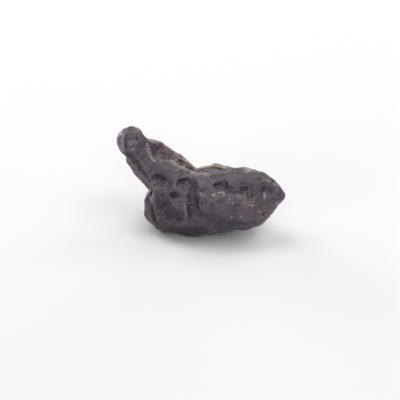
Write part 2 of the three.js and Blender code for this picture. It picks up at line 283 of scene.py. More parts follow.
# The small relief of the front, by the pixels at which it is seen. Reach is half its width and height is how
# far it stands out, both in millimetres; a height below 0 is a hollow.
FRONT = [
    # what, profile, pixels, reach, height
    # -- the knob --
    ("edge of the left facet", crease,
     [(124.2, 131.5), (122.9, 137), (122.4, 144), (123.2, 150.5)], 0.5, 0.25),
    ("groove beside it", bowl, [(126.8, 134), (125.7, 140), (126, 146), (128, 151)], 0.55, -0.2),
    ("hollow of the left facet", bowl, [(120.3, 137), (120.2, 144)], 0.7, -0.12),
    ("sunken panel", bowl, [(131.3, 139), (132.3, 146.5)], 1.25, -0.3),
    ("lump in it", bowl, [(130.5, 143), (133, 140)], 0.6, 0.16),
    ("dark foot of it", bowl, [(130.5, 147.5), (135, 146.5)], 0.5, -0.2),
    ("its upper edge", crease, [(128, 135), (132, 134.6), (135.5, 134.6)], 0.35, -0.12),
    ("its right edge", crease, [(136.6, 133.5), (137.4, 137), (136.8, 141)], 0.4, -0.3),
    ("bead at its foot", bowl, [(133, 149.4)], 0.4, 0.22),
    ("pinhole", pit, [(126.6, 145.3)], 0.3, -0.2),
    ("bead on the right edge", bowl, [(136.4, 142.6)], 0.25, 0.14),
    # -- the neck --
    ("fold under the knob", bowl, [(127.5, 152.5), (130.5, 155.5), (134, 158.5), (138.5, 161)], 1.1, -0.3),
    ("valley", bowl, [(136, 160), (139.5, 165), (143.5, 170.5), (147.5, 175.5), (151.5, 180.5)], 1.3, -0.25),
    ("left edge", bowl, [(129.5, 158), (133, 166), (138, 172.5), (143.5, 179)], 0.6, 0.12),
    ("dimple", bowl, [(145, 163.5)], 0.5, -0.15),
    ("dimple", bowl, [(149.5, 165)], 0.45, -0.15),
    ("lump", bowl, [(141, 162)], 0.4, 0.1),
    ("rim of the pit", crease,
     [(146, 140), (147, 145), (148, 151), (150, 156), (153, 160.3), (156.8, 163)], 0.4, 0.42),
    ("ridge beside the rim", crease, [(144.2, 140), (144.8, 147), (146.2, 154)], 0.35, 0.14),
    ("groove inside the rim", crease, [(148.8, 142), (149.6, 148), (151.4, 153.5), (154.4, 158)], 0.4, -0.2),
    ("lump in the pit", bowl, [(157.5, 146)], 0.4, 0.2),
    ("lump in the pit", bowl, [(160.5, 150.5)], 0.3, 0.15),
    ("lump in the pit", bowl, [(163.5, 152)], 0.35, 0.15),
    ("lump in the pit", bowl, [(167, 154.5)], 0.3, 0.15),
    ("lower rim", crease, [(160, 158.8), (164, 157.7), (168, 158)], 0.35, 0.2),
    ("line under the rim", crease, [(160, 166.5), (166, 166.8)], 0.3, -0.1),
    # -- the saddle --
    ("front rim", crease,
     [(168.5, 160.5), (172.5, 162.8), (177, 165.5), (183, 168.8), (190, 171.8)], 0.6, 0.35),
    ("front rim", bowl, [(191, 172.5), (198, 174), (206, 174), (214, 173.2), (225, 173.5)], 0.6, 0.22),
    ("nick in the rim", crease, [(169, 165.2), (172.5, 167)], 0.3, -0.2),
    ("pinhole", pit, [(181, 170.5)], 0.3, -0.2),
    ("pinhole", pit, [(182.3, 173.7)], 0.35, -0.25),
    ("pinhole", pit, [(178, 172.5)], 0.25, -0.15),
    ("dark corner of the pocket", bowl, [(173, 158), (175.5, 161)], 0.45, -0.15),
    ("fold in the pocket", crease, [(176, 161.5), (183, 161.5)], 0.4, -0.06),
    ("ridge in the pocket", crease, [(174, 154), (180, 158), (183.5, 160)], 0.5, 0.12),
    ("layer of the far wall", crease, [(193, 170), (200, 170.3), (206, 169.6)], 0.3, -0.2),
    ("layer of the far wall", crease, [(208, 167.5), (214, 166), (219, 164.8)], 0.3, 0.15),
    ("layer of the far wall", crease, [(210, 170.5), (217, 169), (224, 168.5)], 0.3, -0.15),
    ("end of the trough", crease, [(225, 169.5), (229, 168.5), (232.5, 168.8)], 0.35, -0.25),
    ("end of the trough", crease, [(227, 172.5), (232, 169.2)], 0.3, 0.15),
    ("end of the trough", crease, [(227, 174), (231, 171.5)], 0.25, -0.15),
    # -- alcoves under the neck --
    ("roof of the left alcove", bowl,
     [(151.5, 178.5), (155, 176.5), (160, 176), (164.5, 178.5)], 0.75, -0.4),
    ("its thin end", crease, [(164, 177), (167, 180.5), (169.5, 184)], 0.4, -0.2),
    ("lump in it", bowl, [(156, 181), (160, 181)], 0.8, 0.3),
    ("eye of the lump", pit, [(157.3, 183)], 0.28, -0.22),
    ("bead", bowl, [(161.2, 180.5)], 0.35, 0.15),
    ("lump", bowl, [(158, 187)], 0.6, 0.2),
    ("hollow", bowl, [(154.3, 184.5)], 0.45, -0.3),
    ("pit", pit, [(160.6, 189)], 0.4, -0.35),
    ("bump", bowl, [(163.2, 185.2)], 0.55, 0.18),
    ("bump", bowl, [(167, 184.5)], 0.45, 0.15),
    ("bump", bowl, [(165, 188.8)], 0.5, 0.15),
    ("bump", bowl, [(170.5, 190.6)], 0.35, 0.12),
    ("roof of the right alcove", bowl, [(180, 180.5), (184, 180), (189, 180.5)], 0.7, -0.32),
    ("bump under it", bowl, [(186.3, 182.3)], 0.5, 0.2),
    ("its right wall", bowl, [(190.5, 181.5), (192, 187), (191.5, 192)], 0.8, -0.2),
    ("lump in it", bowl, [(179, 186), (182.5, 186.5)], 0.8, 0.35),
    ("pinhole", pit, [(178.6, 184)], 0.3, -0.2),
    ("pinhole", pit, [(186, 188.5)], 0.3, -0.2),
    ("pinhole", pit, [(187.6, 191)], 0.3, -0.2),
    # -- below the alcoves --
    ("deep pit, left half", pit, [(173.7, 195.6)], 0.36, -0.35),
    ("deep pit, right half", pit, [(177.3, 195.8)], 0.36, -0.35),
    ("slot", crease, [(160.5, 194.3), (164, 196)], 0.4, -0.35),
    ("wall between the halves", crease, [(175.5, 194), (175.5, 198)], 0.2, 0.15),
    ("lip over the slot", crease, [(161, 192.8), (166.5, 192.8)], 0.25, 0.15),
    ("flow line", crease, [(176, 200.5), (182, 200.3), (189, 200.8)], 0.25, 0.14),
    ("flow line", crease, [(176, 202), (184, 202), (191, 201.9)], 0.25, -0.14),
    ("flow line", crease, [(177, 203.5), (185, 203.4), (192, 203.2)], 0.25, 0.14),
    ("flow line", crease, [(177, 205), (187, 204.9)], 0.25, -0.14),
    ("flow line", crease, [(178, 206.5), (188, 206.3)], 0.25, 0.12),
    ("ridge beside the valley", bowl, [(185.5, 206), (186, 212), (185, 219)], 0.8, 0.28),
    ("pit on the ridge", pit, [(187.2, 211.3)], 0.35, -0.3),
    ("bump on the ridge", bowl, [(184.5, 209)], 0.4, 0.15),
    ("valley", bowl, [(191, 185), (190.5, 192), (193.5, 200), (193.8, 206)], 0.95, -0.2),
    ("hole in the valley", pit, [(190.5, 206)], 0.28, -0.2),
    ("hole in the valley", pit, [(191.2, 212.3)], 0.28, -0.2),
    ("hole in the valley", bowl, [(194, 198)], 0.7, -0.15),
    ("bump beside the valley", bowl, [(197.5, 191), (198, 196)], 0.6, 0.25),
    # -- the right lobe --
    ("pit", pit, [(202.3, 202.8)], 0.33, -0.28),
    ("pit", pit, [(206.7, 203.4)], 0.25, -0.18),
    ("line under the pits", crease, [(200, 205.8), (206, 205.8)], 0.25, -0.2),
    ("bump", bowl, [(203, 199)], 0.4, 0.15),
    ("pit", pit, [(201, 190)], 0.4, -0.2),
    ("hollow", bowl, [(202.5, 193.5)], 0.5, -0.2),
    ("deep pit", bowl, [(217, 184.3), (221, 184)], 0.65, -0.22),
    ("its tail", crease, [(213, 185), (217, 185)], 0.35, -0.2),
    ("its lip", crease, [(215, 189.3), (221, 190.3)], 0.35, 0.15),
    ("ledge", crease, [(212.5, 196.5), (214.8, 193.5)], 0.4, 0.25),
    ("ledge", crease, [(216.5, 192.8), (224, 192.3)], 0.35, 0.25),
    ("ledge", crease, [(224.6, 192.5), (224.8, 196)], 0.3, 0.15),
    ("trail", crease, [(223.5, 185), (226, 188), (229, 190.5), (231, 192)], 0.45, -0.28),
    ("pinhole by the trail", pit, [(231.3, 187.2)], 0.3, -0.3),
    ("trail", crease, [(231, 191.6), (240, 191.8)], 0.35, -0.24),
    ("bead", bowl, [(229.3, 198.6)], 0.3, 0.2),
    ("dark patch", bowl, [(240.5, 187.5), (247, 188)], 0.65, -0.28),
    ("pinhole", pit, [(250.8, 184.5)], 0.3, -0.25),
    ("crease", crease, [(241, 191.5), (243, 193.5)], 0.4, -0.3),
    ("dent", bowl, [(248.5, 192.5), (249.5, 197)], 0.65, -0.45),
    ("pit", pit, [(252, 200)], 0.35, -0.3),
    ("bump", bowl, [(254.5, 193.5)], 0.4, 0.15),
    ("crease", crease, [(256.5, 192.8), (259, 192.5)], 0.35, -0.25),
    ("fold on top", crease, [(250, 173.5), (256, 174.5)], 0.3, -0.15),
    ("hollow", bowl, [(217.5, 201.6), (220, 202)], 0.6, -0.15),
    ("bead", bowl, [(233.3, 203.4)], 0.35, 0.25),
    ("slit", crease, [(235, 205), (239, 205)], 0.35, -0.3),
    ("bead", bowl, [(231.3, 217.2)], 0.3, 0.2),
    ("bead", bowl, [(241.3, 217)], 0.4, 0.2),
    # -- its tip --
    ("upper edge of the tip", crease, [(266, 182), (271, 181.8)], 0.3, 0.15),
    ("dimple of the tip", bowl, [(264, 188), (270, 188.5)], 0.9, -0.25),
    ("pit", pit, [(270.5, 191.5)], 0.35, -0.25),
    ("ridge of the tip", crease, [(264.7, 192.5), (264.8, 198.5)], 0.45, 0.25),
    ("bead", bowl, [(252.5, 201.6)], 0.35, 0.2),
    ("bead", bowl, [(253, 206.5)], 0.35, 0.2),
    ("crack", crease, [(242, 203.3), (248, 203), (254, 203.3)], 0.3, -0.2),
    ("pit", pit, [(256.5, 208)], 0.35, -0.3),
    ("pit", pit, [(254, 211)], 0.4, -0.25),
    ("bead", bowl, [(258.5, 212)], 0.35, 0.2),
    ("pit", pit, [(262, 213.5), (265.5, 213)], 0.45, -0.35),
    # -- the lower crease and the underside --
    ("crease", crease,
     [(192, 212), (200, 213.5), (208, 214.5), (216, 216.3), (223, 219), (228, 221.3), (233, 223.8)],
     0.6, -0.12),
    ("lip of the crease", crease, [(227, 219), (231, 221), (233.5, 222.5)], 0.3, 0.18),
    ("crease", crease, [(240, 222.5), (247, 223)], 0.45, -0.25),
    ("hollow underneath", bowl, [(196, 227.5), (205, 228)], 1.2, -0.3),
    # -- the foot --
    ("groove of its side", crease, [(151.7, 190), (151.3, 197), (151.8, 204), (151.5, 210)], 0.35, -0.28),
    ("ridge of its side", crease, [(149.4, 196), (148.8, 204), (149.4, 212)], 0.3, 0.16),
    ("ridge of its side", crease, [(154.5, 189), (155, 197), (154.8, 204)], 0.35, 0.22),
    ("groove of its side", crease, [(157.8, 191.5), (158, 198), (157.8, 204)], 0.35, -0.25),
    ("groove of its side", crease, [(153, 203), (153.6, 210)], 0.28, -0.18),
    ("front edge of its side", crease, [(160.3, 197.5), (160.4, 203), (160, 206.5)], 0.35, 0.3),
    ("hollow of its side", bowl, [(154.5, 210.5), (155, 218)], 1.0, -0.3),
    ("pit", pit, [(151.6, 215)], 0.28, -0.2),
    ("slanting ridge", crease, [(160, 212.5), (162.5, 217), (166.3, 222)], 0.4, 0.25),
    ("slanting groove", crease, [(161, 219), (163.5, 223)], 0.45, -0.3),
    ("pit", pit, [(165.7, 219)], 0.3, -0.25),
    ("broad hollow", bowl, [(169, 210), (177, 214)], 2.2, -0.3),
    ("streak in it", crease, [(175.5, 212), (176.5, 220)], 0.4, -0.15),
    ("streak in it", crease, [(167.5, 204), (169, 211)], 0.4, -0.12),
    ("lip at the bottom", bowl, [(166, 225.5), (178, 225.8)], 0.5, 0.15),
]


# The same for the sides that the picture doesn't show, by places in millimetres on each side.
AROUND = [
    # side, what, profile, places, reach, height
    ("above", "rib across the trough", crease, [(-5.6, 5.2), (-5.0, 4.0), (-4.9, 2.9)], 0.7, 0.45),
    ("above", "rib across the trough", crease, [(1.0, 4.6), (1.3, 3.4), (1.0, 2.5)], 0.6, 0.3),
    ("above", "rib across the trough", crease, [(5.2, 3.3), (5.4, 2.4)], 0.6, 0.3),
    ("above", "hollow of the trough", bowl, [(-3.2, 4.0), (-1.6, 3.6)], 1.1, -0.5),
    ("above", "hollow of the trough", bowl, [(2.6, 3.3), (3.8, 2.9)], 0.9, -0.35),
    ("above", "lump in the trough", bowl, [(-0.3, 3.4)], 0.7, 0.35),
    ("above", "lump in the trough", bowl, [(-2.6, 3.0)], 0.5, 0.25),
    ("above", "lump in the trough", bowl, [(4.6, 2.5)], 0.5, 0.25),
    ("above", "ledge of the far wall", crease, [(-5.0, 5.3), (-2.0, 5.0), (1.0, 4.9)], 0.5, 0.35),
    ("above", "ledge of the far wall", crease, [(2.4, 4.3), (5.6, 3.3)], 0.4, 0.25),
    ("above", "hollow of the pit", bowl, [(-9.0, 2.2), (-8.2, 1.6)], 0.9, -0.3),
    ("above", "lump in the pit", bowl, [(-7.6, 2.8)], 0.7, 0.4),
    ("above", "hollow of the shelf", bowl, [(0.5, 0.6), (2.6, 0.9)], 1.2, -0.25),
    ("above", "fold of the shelf", crease, [(3.6, 1.4), (5.6, 0.4), (6.6, -1.0)], 0.5, -0.2),
    ("above", "hollow of the lobe", bowl, [(9.0, 1.6), (10.4, 0.6)], 1.3, -0.3),
    ("above", "pit of the far wall", pit, [(3.0, 5.6)], 0.5, -0.35),
    ("above", "pit of the far wall", pit, [(-3.6, 6.8)], 0.6, -0.35),
    ("behind", "flow line", crease, [(13.5, 7.4), (10.5, 6.6), (7.5, 6.9)], 0.4, -0.2),
    ("behind", "flow line", crease, [(13.0, 6.6), (10.0, 5.9), (8.0, 6.0)], 0.4, 0.18),
    ("behind", "flow line", crease, [(2.5, 9.0), (-1.5, 9.4), (-5.5, 10.6), (-8.0, 11.8)], 0.5, 0.3),
    ("behind", "flow line", crease, [(1.5, 8.2), (-2.5, 8.5), (-6.5, 9.5)], 0.5, -0.25),
    ("behind", "flow line", crease, [(-2.0, 6.2), (-5.0, 5.8), (-7.5, 6.2)], 0.45, -0.22),
    ("behind", "navel", bowl, [(3.2, 5.6)], 1.1, -0.5),
    ("behind", "eye of the navel", pit, [(3.4, 5.3)], 0.4, -0.35),
    ("behind", "navel", bowl, [(-4.6, 4.7)], 0.9, -0.4),
    ("behind", "navel", bowl, [(-9.6, 10.4), (-10.4, 10.8)], 0.9, -0.45),
    ("behind", "navel", bowl, [(12.2, 11.6)], 1.0, -0.4),
    ("behind", "pit", pit, [(0.2, 10.8)], 0.5, -0.4),
    ("behind", "pit", pit, [(-1.2, 5.2)], 0.45, -0.35),
    ("behind", "lump", bowl, [(1.0, 3.6)], 1.3, 0.35),
    ("behind", "lump", bowl, [(-7.4, 4.2)], 1.2, 0.35),
    ("behind", "lump", bowl, [(9.4, 9.4), (10.6, 9.0)], 0.9, 0.35),
    ("behind", "groove of the knob", bowl, [(-13.6, 18.6), (-15.0, 18.0), (-16.4, 18.2)], 0.6, -0.25),
    ("behind", "navel of the knob", bowl, [(-14.8, 20.0)], 0.8, -0.25),
    ("left", "groove", crease, [(0.0, 8.0), (-1.4, 6.6), (-2.6, 4.6)], 0.5, -0.3),
    ("left", "pit", pit, [(0.6, 3.4)], 0.5, -0.4),
    ("left", "navel of the knob", bowl, [(4.6, 18.8)], 0.9, -0.3),
    ("left", "fold of the chin", crease, [(6.0, 14.6), (4.6, 13.4), (4.0, 12.2)], 0.5, -0.25),
    ("right", "navel", bowl, [(-3.0, 12.6)], 1.1, -0.4),
    ("right", "flow line", crease, [(-5.6, 9.6), (-3.6, 10.0), (-1.8, 11.4)], 0.4, -0.2),
    ("right", "flow line", crease, [(-6.2, 7.4), (-4.0, 7.2), (-2.0, 8.4)], 0.4, 0.18),
    ("right", "pit", pit, [(-4.4, 5.6)], 0.5, -0.4),
    ("below", "navel", bowl, [(11.0, -3.2)], 1.1, -0.4),
    ("below", "navel", bowl, [(7.0, 2.2)], 1.0, -0.4),
    ("below", "flow line", crease, [(14.0, -2.0), (10.0, -0.6), (6.0, 1.4)], 0.4, -0.2),
]


# Where the surface differs as a whole. Each zone runs along a path in the picture; reach is in millimetres
# and the amount is from 0 to 1. Rough skin has stronger lumps. The other kinds are colour: dust is the grey
# bloom of the weathered glass, which skin that faces up also gets as painted top light; clean is dark glass
# without it, laid mostly as painted shade in hollows, along the bottom and under the knob and neck; worn is
# pale scuffing, mostly painted highlights on rims, ledges and beads; soil is brown earth and pale is cream
# crust, and on the fold and peak of the far wall both also stand as painted light where shade falls.
ZONES = [
    # kind, what, pixels, reach, amount
    ("rough", "alcoves", [(154, 181), (164, 186), (172, 191), (181, 187), (188, 186)], 2.4, 1.0),
    ("rough", "foot of the valley", [(186, 208), (187, 216)], 1.4, 0.8),
    ("rough", "trough", [(152, 145), (160, 152), (170, 156), (182, 161)], 2.0, 1.0),
    ("rough", "brown patch", [(243, 203), (256, 207), (266, 213)], 2.2, 1.0),
    ("rough", "side of the foot", [(150, 195), (150, 215)], 1.4, 0.7),
    ("rough", "right alcove", [(180, 178), (189, 179), (192, 190)], 1.6, 0.8),
    ("rough", "low side of the lobe", [(200, 211), (225, 214), (242, 211)], 2.4, 0.6),
    ("rough", "ledges of the lobe", [(212, 182), (224, 184), (231, 191), (245, 191)], 1.8, 0.8),
    ("dust_and_painted_top_light", "left facet of the knob", [(121, 134), (121, 148)], 2.4, 1.0),
    ("dust_and_painted_top_light", "top of the knob", [(131, 130), (131, 138)], 3.4, 0.8),
    ("dust_and_painted_top_light", "face of the knob", [(130, 139), (133, 144), (139, 141), (140, 147)], 2.2, 1.0),
    ("dust_and_painted_top_light", "pit", [(154, 149), (160, 152), (168, 154)], 2.4, 1.0),
    ("dust_and_painted_top_light", "back of the pit", [(157, 142), (164, 148), (170, 152)], 1.6, 1.0),
    ("dust_and_painted_top_light", "neck", [(140, 146), (150, 164), (163, 172)], 2.6, 0.55),
    ("dust_and_painted_top_light", "left edge of the neck", [(131, 160), (140, 176)], 1.4, 0.8),
    ("dust_and_painted_top_light", "middle of the neck", [(139, 161.5), (146, 164.5), (151, 166)], 1.0, 1.0),
    ("dust_and_painted_top_light", "alcoves", [(158, 182), (166, 187), (172, 190), (181, 187)], 2.0, 0.5),
    ("dust_and_painted_top_light", "top of the lobe", [(228, 169.5), (240, 170), (262, 177), (272, 185)], 1.6, 0.8),
    ("dust_and_painted_top_light", "side of the lobe", [(205, 190), (228, 200), (250, 197), (275, 199)], 4.0, 0.65),
    ("dust_and_painted_top_light", "low side of the lobe", [(236, 212), (262, 208)], 2.4, 0.5),
    # Dark clean glass, laid mostly as painted shade: hollows, the underside, the bottom edge, and under the
    # knob and neck.
    ("clean_and_painted_shade", "broad hollow of the belly", [(163, 206), (170, 213), (178, 216)], 3.2, 0.9),
    ("clean_and_painted_shade", "hollow of the foot's side", [(154, 208), (154, 221)], 2.0, 0.9),
    ("clean_and_painted_shade", "side of the foot", [(150, 194), (151, 206)], 2.2, 1.0),
    ("clean_and_painted_shade", "end of the trough", [(217, 171.5), (224, 171.5)], 0.8, 0.45),
    ("clean_and_painted_shade", "top of the lobe", [(236, 176), (250, 178)], 2.2, 0.25),
    ("clean_and_painted_shade", "brown patch", [(258, 213), (264, 212)], 1.6, 0.6),
    ("clean_and_painted_shade", "bottom edge", [(156, 226), (185, 230), (205, 228)], 2.4, 1.0),
    ("clean_and_painted_shade", "bottom edge", [(205, 228), (218, 227), (230, 227.5)], 1.8, 0.5),
    ("clean_and_painted_shade", "bottom edge", [(150, 222), (160, 229), (185, 234), (210, 233)], 2.0, 1.0),
    ("clean_and_painted_shade", "underside", [(193, 215), (205, 219), (216, 222), (230, 224)], 2.4, 0.3),
    ("clean_and_painted_shade", "shade under the neck", [(128, 153), (138, 163), (148, 177)], 1.5, 0.6),
    ("clean_and_painted_shade", "left facet of the knob", [(123.5, 130.5), (119.5, 134.5)], 0.9, 0.5),
    ("clean_and_painted_shade", "groove of the knob", [(126.2, 143), (126.4, 148)], 0.5, 0.6),
    ("clean_and_painted_shade", "mark on the knob", [(136.8, 136.5), (137, 140)], 0.35, 0.8),
    ("clean_and_painted_shade", "under the knob", [(127, 152.6), (135, 155.6), (143, 157)], 0.9, 0.4),
    ("clean_and_painted_shade", "valley", [(191, 183), (192, 192), (194, 205)], 1.2, 0.35),
    # Pale scuffs that are mostly painted highlights: glints on rims, ledges and beads.
    ("worn_and_painted_highlight", "rim of the pit", [(146.6, 143), (148, 151), (150, 156)], 0.32, 0.7),
    ("worn_and_painted_highlight", "rim of the pit", [(149.6, 155.6), (153, 160.3), (156.8, 163)], 0.38, 1.0),
    ("worn_and_painted_highlight", "edge of the left facet", [(123.4, 133), (122.6, 142), (123.2, 150)], 0.45, 0.5),
    ("worn_and_painted_highlight", "front rim of the saddle", [(168.5, 161), (177, 166), (190, 172)], 0.7, 0.7),
    ("worn_and_painted_highlight", "front rim of the saddle", [(190, 172.5), (200, 174.3), (209, 174.3)], 0.85, 0.9),
    ("worn_and_painted_highlight", "front rim of the saddle", [(209, 174.3), (220, 173.4)], 0.5, 0.35),
    ("worn_and_painted_highlight", "end of the trough", [(226, 172.6), (231, 169.6)], 0.35, 0.7),
    ("worn_and_painted_highlight", "front rim of the saddle", [(186, 170.2), (191, 172.2)], 0.7, 0.7),
    ("worn_and_painted_highlight", "ledge", [(213, 196), (216, 194.2)], 0.6, 1.0),
    ("worn_and_painted_highlight", "ledge", [(216, 196.4), (221, 196), (224, 195)], 0.6, 0.6),
    ("worn_and_painted_highlight", "bead", [(229.4, 198.4)], 0.4, 0.9),
    ("worn_and_painted_highlight", "edge of the valley", [(200, 193), (204, 195.4)], 0.4, 0.5),
    ("worn_and_painted_highlight", "line on the lobe", [(226, 202.6), (233, 201.8)], 0.35, 0.4),
    ("worn_and_painted_highlight", "line on the lobe", [(236, 194.6), (243, 195.4)], 0.5, 0.35),
    ("worn_and_painted_highlight", "lip of the crease", [(226.6, 219.4), (231, 221.6)], 0.35, 0.45),
    ("worn_and_painted_highlight", "ridge in the valley", [(184.6, 204.6), (186, 211), (187.4, 216)], 0.5, 0.22),
    ("worn_and_painted_highlight", "lump in the left alcove", [(154, 182), (158.4, 184.6), (161, 188)], 0.4, 0.4),
    ("worn_and_painted_highlight", "lump in the right alcove", [(178, 186.4), (180.4, 190)], 0.35, 0.4),
    ("worn_and_painted_highlight", "ledge", [(218, 192.8), (224, 192.5)], 0.5, 1.0),
    ("worn_and_painted_highlight", "streak by the tip", [(264.7, 192.5), (264.8, 198)], 0.5, 1.0),
    ("worn_and_painted_highlight", "upper edge of the tip", [(262, 178.5), (271, 182)], 0.6, 0.5),
    ("worn_and_painted_highlight", "bead of the knob", [(132.8, 148.6)], 0.6, 1.0),
    ("worn_and_painted_highlight", "patch on the knob", [(129.5, 141), (131, 144), (134.5, 141)], 0.5, 0.45),
    ("worn_and_painted_highlight", "bead of the knob", [(136.4, 142.6)], 0.3, 0.8),
    ("worn_and_painted_highlight", "bead", [(233.3, 203.4)], 0.4, 0.9),
    ("worn_and_painted_highlight", "bead", [(231.3, 217.2)], 0.45, 1.0),
    ("worn_and_painted_highlight", "bead", [(241.3, 217)], 0.5, 1.0),
    ("worn_and_painted_highlight", "line on the lobe", [(243, 203), (249, 202.4), (255, 202.4)], 0.4, 0.6),
    ("worn_and_painted_highlight", "bead", [(252.6, 205.4)], 0.4, 0.9),
    ("worn_and_painted_highlight", "bead", [(258.5, 212)], 0.35, 0.6),
    ("soil", "pocket", [(171, 152), (179, 158), (187, 162.5)], 2.2, 1.0),
    ("soil", "pit", [(151, 144), (160, 151), (168, 155)], 2.2, 0.3),
    ("soil", "back of the pit", [(157, 142), (163, 146.5), (170, 151)], 1.3, 0.45),
    ("soil", "brown patch", [(252, 208), (262, 214), (270, 212)], 2.4, 0.32),
    ("soil", "line on the lobe", [(243, 203.5), (256, 206)], 1.4, 0.45),
    ("soil", "side of the foot", [(148, 194), (149, 214)], 1.2, 0.25),
    ("crust_and_painted_light", "pocket", [(185, 161.5), (192, 166)], 1.3, 1.0),
    ("crust_and_painted_light", "far wall", [(193.5, 167), (197, 167.6)], 0.8, 0.4),
    ("crust_and_painted_light", "far wall", [(200, 167.4), (209, 166.5)], 1.2, 1.0),
    # Painted light: crust laid along the fold under the far wall, where shade falls.
    ("crust_and_painted_light", "layer of the far wall", [(194, 169.5), (199, 169.9), (204, 169.8)], 1.0, 0.8),
    # Crust and earth that also stand as painted light, lightening the shaded peak and end of the far wall.
    ("crust_and_painted_light", "peak of the far wall", [(207, 168.5), (214, 168), (218, 166)], 1.3, 1.0),
    ("soil", "peak of the far wall", [(208, 169), (215, 169), (222, 169)], 1.3, 0.35),
    ("crust_and_painted_light", "end of the far wall", [(215, 165), (221, 167), (230, 168)], 1.3, 0.65),
]


# The same around the stone, by places in millimetres on each side. Here too clean glass lays painted shade
# on undersides and hollows, worn glass paints highlights on edges, and dust is also painted top light.
ZONES_AROUND = [
    # side, kind, what, places, reach, amount
    ("above", "rough", "trough", [(-5.0, 4.0), (-1.0, 3.5), (3.0, 3.0), (6.0, 2.4)], 2.4, 1.0),
    ("above", "rough", "pit", [(-9.0, 2.6), (-7.6, 2.2)], 2.4, 1.0),
    ("above", "soil", "trough", [(-5.2, 4.4), (-1.0, 3.8), (3.0, 3.2), (6.4, 2.4)], 2.4, 0.5),
    ("above", "soil", "pit", [(-9.0, 3.0), (-7.8, 2.6)], 2.2, 0.35),
    ("above", "clean_and_painted_shade", "top of the knob", [(-15.0, 5.0)], 2.4, 0.3),
    ("above", "worn_and_painted_highlight", "top of the far wall", [(-4.0, 6.6), (0.0, 6.2), (5.0, 6.0)], 0.6, 0.6),
    ("behind", "rough", "long pits", [(6.5, 5.4), (2.0, 7.6), (-4.0, 7.6), (-9.0, 8.0)], 2.0, 1.0),
    ("behind", "rough", "shelf of the neck", [(-8.0, 13.0), (-12.0, 14.0)], 1.6, 1.0),
    ("behind", "rough", "lump", [(1.0, 4.0), (-1.0, 2.6)], 2.2, 0.8),
    ("behind", "rough", "hollow of the lobe", [(13.8, 9.6), (10.0, 10.4)], 1.8, 0.8),
    ("behind", "soil", "fold", [(6.0, 5.2), (2.5, 7.4)], 1.3, 0.45),
    ("behind", "soil", "fold", [(-7.0, 7.8), (-10.4, 7.8)], 1.3, 0.5),
    ("behind", "soil", "shelf of the neck", [(-9.0, 13.2), (-12.4, 14.2)], 1.2, 0.45),
    ("behind", "clean_and_painted_shade", "underside of the lobe", [(11.0, 4.4), (5.0, 3.0)], 2.4, 0.6),
    ("behind", "clean_and_painted_shade", "foot", [(-3.0, 2.0), (-8.0, 2.4)], 2.2, 0.6),
    ("behind", "clean_and_painted_shade", "hollow of the lobe", [(12.4, 9.0), (9.4, 9.6)], 1.6, 0.5),
    ("behind", "dust_and_painted_top_light", "top of the lobe", [(9.0, 12.6), (3.0, 11.0), (-2.0, 11.4)], 3.0, 0.6),
    ("behind", "dust_and_painted_top_light", "neck", [(-10.0, 16.0), (-14.0, 19.0)], 2.6, 0.6),
    ("behind", "worn_and_painted_highlight", "shelf of the neck", [(-9.0, 12.0), (-13.6, 13.2)], 0.6, 0.6),
    ("left", "clean_and_painted_shade", "foot", [(0.0, 2.4), (-3.0, 2.0)], 2.2, 0.6),
    ("left", "rough", "chin of the neck", [(2.4, 12.0), (4.0, 10.0)], 2.0, 1.0),
    ("left", "soil", "chin of the neck", [(3.6, 9.0), (4.6, 12.0)], 1.2, 0.45),
    ("right", "clean_and_painted_shade", "underside of the tip", [(-4.0, 4.2), (0.4, 5.6)], 2.2, 0.6),
    ("right", "rough", "low side of the tip", [(-2.6, 8.0), (-4.6, 6.0)], 1.8, 0.8),
    ("right", "worn_and_painted_highlight", "edge of the tip", [(1.2, 6.4), (1.6, 4.4)], 0.5, 0.6),
    ("below", "clean_and_painted_shade", "underside", [(10.0, -2.0), (0.0, -2.0), (-8.0, 0.0)], 4.0, 0.5),
]


def zone(skin, kind):
    """How far each point of the skin belongs to the zones of this kind."""
    amount = np.zeros(skin.count)
    for this_kind, _, pixels, reach, most in ZONES:
        if this_kind == kind:
            path, outs = trace_front(skin, pixels)
            amount = np.maximum(amount, most * stroke(skin, path, outs, reach, bowl, ZONE_TAPER))
    for side, this_kind, _, places, reach, most in ZONES_AROUND:
        if this_kind == kind:
            path, outs = trace_side(skin, side, places)
            amount = np.maximum(amount, most * stroke(skin, path, outs, reach, bowl, ZONE_TAPER))
    return amount


# Pits that are strewn over the skin, each with a slight rim.
STREWN = [
    # what, places tried, least and most reach, depth for 1 mm of reach, share kept on the front, seed
    ("pinholes", 520, 0.22, 0.6, 0.4, 0.35, 11),
    ("shallow hollows", 90, 0.8, 2.0, 0.22, 0.0, 12),
]
SHALLOWER, DEEPER = 0.6, 1.2  # how much the depth of one such pit differs from another's
RIM_PLACE, RIM_WIDTH, RIM_END = 1.1, 0.2, 1.5  # in reaches from the middle of the pit
RIM_HEIGHT = 0.2  # for 1 mm of depth
SAME_FACE = 0.5  # skin takes part in a pit where the cosine between the ways out is more than this
FRONT_FROM = 0.1  # skin is on the front where the cosine with the way to the camera is this or more

# Noise that makes the edges of the relief and the zones uneven.
WOBBLE = [
    # share of the reach, lumps in millimetres, seed
    (0.45, 0.7, 3),
    (0.25, 0.35, 4),
]

# Noise that lifts the skin.
LUMPS = [
    # lift everywhere, further lift where it is rough, lumps, all in millimetres; seed
    (0.05, 0.1, 0.9, 1),
    (0.02, 0.08, 0.42, 2),
]


def tree_of(points):
    tree = KDTree(len(points))
    for n, point in enumerate(points):
        tree.insert(point, n)
    tree.balance()
    return tree


